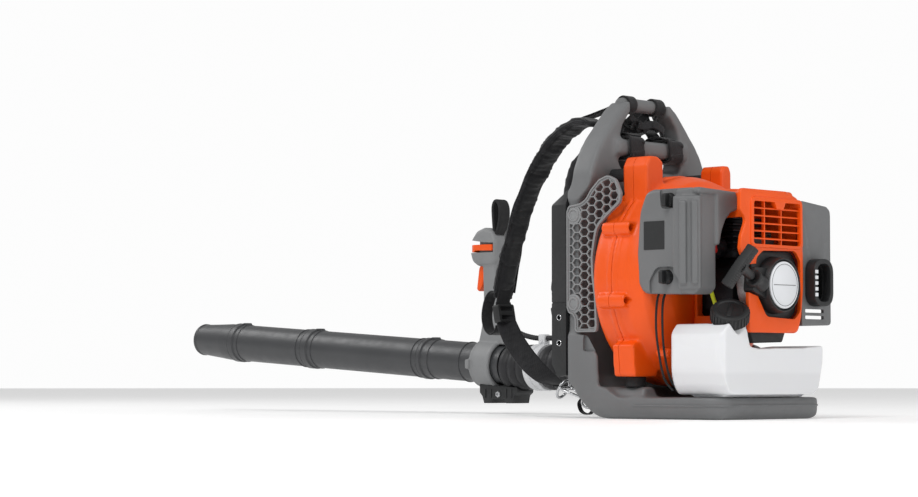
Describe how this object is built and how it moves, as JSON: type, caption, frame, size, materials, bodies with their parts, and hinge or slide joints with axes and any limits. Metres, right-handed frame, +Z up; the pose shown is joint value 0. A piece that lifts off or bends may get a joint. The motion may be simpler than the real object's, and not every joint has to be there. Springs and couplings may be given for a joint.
{
  "type": "backpack leaf blower",
  "caption": "Backpack leaf blower with padded harness, scroll fan housing, engine with recoil starter, translucent fuel tank and a jointed blower tube with a throttle handle.",
  "frame": {"origin": "on the ground under the carrying frame, centre of the foot's flat bottom face", "axes": "+Y is the wearer's forward direction, along the blower tube; +Z up; +X the wearer's right"},
  "size_m": [0.3865, 1.518, 0.487],
  "materials": {
    "orange_plastic": "smooth moulded",
    "grey_plastic": "fine grained",
    "black_plastic": "fine grained",
    "tube_plastic": "satin moulded",
    "fabric": "woven",
    "rubber": "moulded",
    "steel": "bright",
    "casting": "cast",
    "tank_plastic": "translucent white",
    "paper": "pleated",
    "yellow_tube": "smooth",
    "red_plastic": "smooth"
  },
  "bodies": {
    "frame": {"back_frame": "grey_plastic", "back_plate": "black_plastic", "back_cushion": "fabric", "shoulder_strap_left": "fabric", "shoulder_strap_right": "fabric", "lifter_strap_left": "fabric", "lifter_strap_right": "fabric", "lower_strap_left": "fabric", "lower_strap_right": "fabric", "strap_buckle_left": "black_plastic", "strap_buckle_right": "black_plastic", "strap_hook_left": "steel", "strap_hook_right": "steel", "damper_upper_left": "rubber", "damper_upper_right": "rubber", "damper_lower_left": "rubber", "damper_lower_right": "rubber", "fan_housing_front": "orange_plastic", "fan_housing_rear": "orange_plastic", "intake_grille_left": "grey_plastic", "intake_grille_right": "grey_plastic", "crankcase": "casting", "cylinder": "casting", "spark_plug": "steel", "ignition_coil": "black_plastic", "carburetor": "casting", "air_filter_base": "black_plastic", "air_filter_element": "paper", "muffler": "steel", "muffler_cover": "grey_plastic", "exhaust_outlet": "black_plastic", "engine_cover": "orange_plastic", "starter_housing": "black_plastic", "starter_rope": "rubber", "fuel_tank": "tank_plastic", "fuel_line": "yellow_tube", "outlet_elbow": "tube_plastic", "flex_hose_rear": "rubber", "flex_hose_front": "rubber", "throttle_conduit_rear": "black_plastic", "throttle_conduit_front": "black_plastic"},
    "band": {"hose_band": "steel"},
    "blower_tube": {"handle_tube": "tube_plastic", "throttle_grip": "grey_plastic", "clamp_bracket": "black_plastic"},
    "trigger": {"throttle_trigger": "orange_plastic"},
    "cruise": {"cruise_lever": "orange_plastic"},
    "mid_tube": {"middle_tube": "tube_plastic"},
    "front_tube": {"outer_tube": "tube_plastic"},
    "nozzle_end": {"nozzle": "tube_plastic"},
    "crank": {"crankshaft": "steel", "impeller": "tube_plastic", "flywheel": "casting"},
    "pulley": {"starter_pulley": "black_plastic"},
    "grip": {"starter_handle": "black_plastic"},
    "cap": {"fuel_cap": "black_plastic"},
    "filter_cover": {"air_filter_cover": "grey_plastic"},
    "knob_upper": {"cover_knob_upper": "black_plastic"},
    "knob_lower": {"cover_knob_lower": "black_plastic"},
    "choke": {"choke_lever": "red_plastic"}
  },
  "joints": [
    {"name": "hose_yaw", "type": "hinge", "parent": "frame", "child": "band", "pos_m": [0.18, 0.3, 0.078], "axis": [0, 0, 1], "range_deg": [-20, 30], "deforming": ["flex_hose_rear", "throttle_conduit_rear"]},
    {"name": "hose_pitch", "type": "hinge", "parent": "band", "child": "blower_tube", "pos_m": [0.18, 0.5, 0.08], "axis": [1, 0, 0], "range_deg": [-4, 30], "deforming": ["flex_hose_front", "throttle_conduit_front"]},
    {"name": "trigger_squeeze", "type": "hinge", "parent": "blower_tube", "child": "trigger", "pos_m": [0.18, 0.582, 0.256], "axis": [1, 0, 0], "range_deg": [-18, 0], "stiffness_Nm_per_rad": 0.4, "springref_deg": 8.59},
    {"name": "cruise_set", "type": "hinge", "parent": "blower_tube", "child": "cruise", "pos_m": [0.18, 0.562, 0.2805], "axis": [1, 0, 0], "range_deg": [0, 8]},
    {"name": "middle_tube_twist", "type": "hinge", "parent": "blower_tube", "child": "mid_tube", "pos_m": [0.18, 0.72552, 0.09474], "axis": [0, 0.9979, 0.0652], "range_deg": [0, 20]},
    {"name": "outer_tube_twist", "type": "hinge", "parent": "mid_tube", "child": "front_tube", "pos_m": [0.18, 1.02089, 0.11405], "axis": [0, 0.9979, 0.0652], "range_deg": [0, 20]},
    {"name": "nozzle_twist", "type": "hinge", "parent": "front_tube", "child": "nozzle_end", "pos_m": [0.18, 1.22046, 0.1271], "axis": [0, 0.9979, 0.0652], "range_deg": [0, 20]},
    {"name": "crank_spin", "type": "hinge", "parent": "frame", "child": "crank", "pos_m": [0, 0, 0.194], "axis": [0, 1, 0], "continuous": true},
    {"name": "starter_pull", "type": "slide", "parent": "frame", "child": "grip", "axis": [-0.922, -0.1403, 0.3608], "range_m": [0, 0.6], "stiffness_N_per_m": 12, "springref_m": -0.3},
    {"name": "pulley_spin", "type": "hinge", "parent": "frame", "child": "pulley", "pos_m": [0, -0.155, 0.194], "axis": [0, 1, 0], "range_deg": [-1600, 0]},
    {"name": "cap_turn", "type": "hinge", "parent": "frame", "child": "cap", "pos_m": [-0.09, -0.144, 0.14], "axis": [-0.4331, -0.4151, 0.8001], "range_deg": [0, 270]},
    {"name": "cover_slide", "type": "slide", "parent": "frame", "child": "filter_cover", "axis": [-1, 0, 0], "range_m": [0, 0.12]},
    {"name": "knob_upper_turn", "type": "hinge", "parent": "filter_cover", "child": "knob_upper", "pos_m": [-0.15, -0.082, 0.314], "axis": [-1, 0, 0], "range_deg": [0, 90]},
    {"name": "knob_lower_turn", "type": "hinge", "parent": "filter_cover", "child": "knob_lower", "pos_m": [-0.15, -0.076, 0.204], "axis": [-1, 0, 0], "range_deg": [0, 90]},
    {"name": "choke_turn", "type": "hinge", "parent": "frame", "child": "choke", "pos_m": [-0.08, -0.108, 0.244], "axis": [0, -1, 0], "range_deg": [-50, 0]}
  ],
  "couplings": [
    {"joint": "pulley_spin", "follows": "starter_pull", "rad_per_m": -43.478}
  ]
}
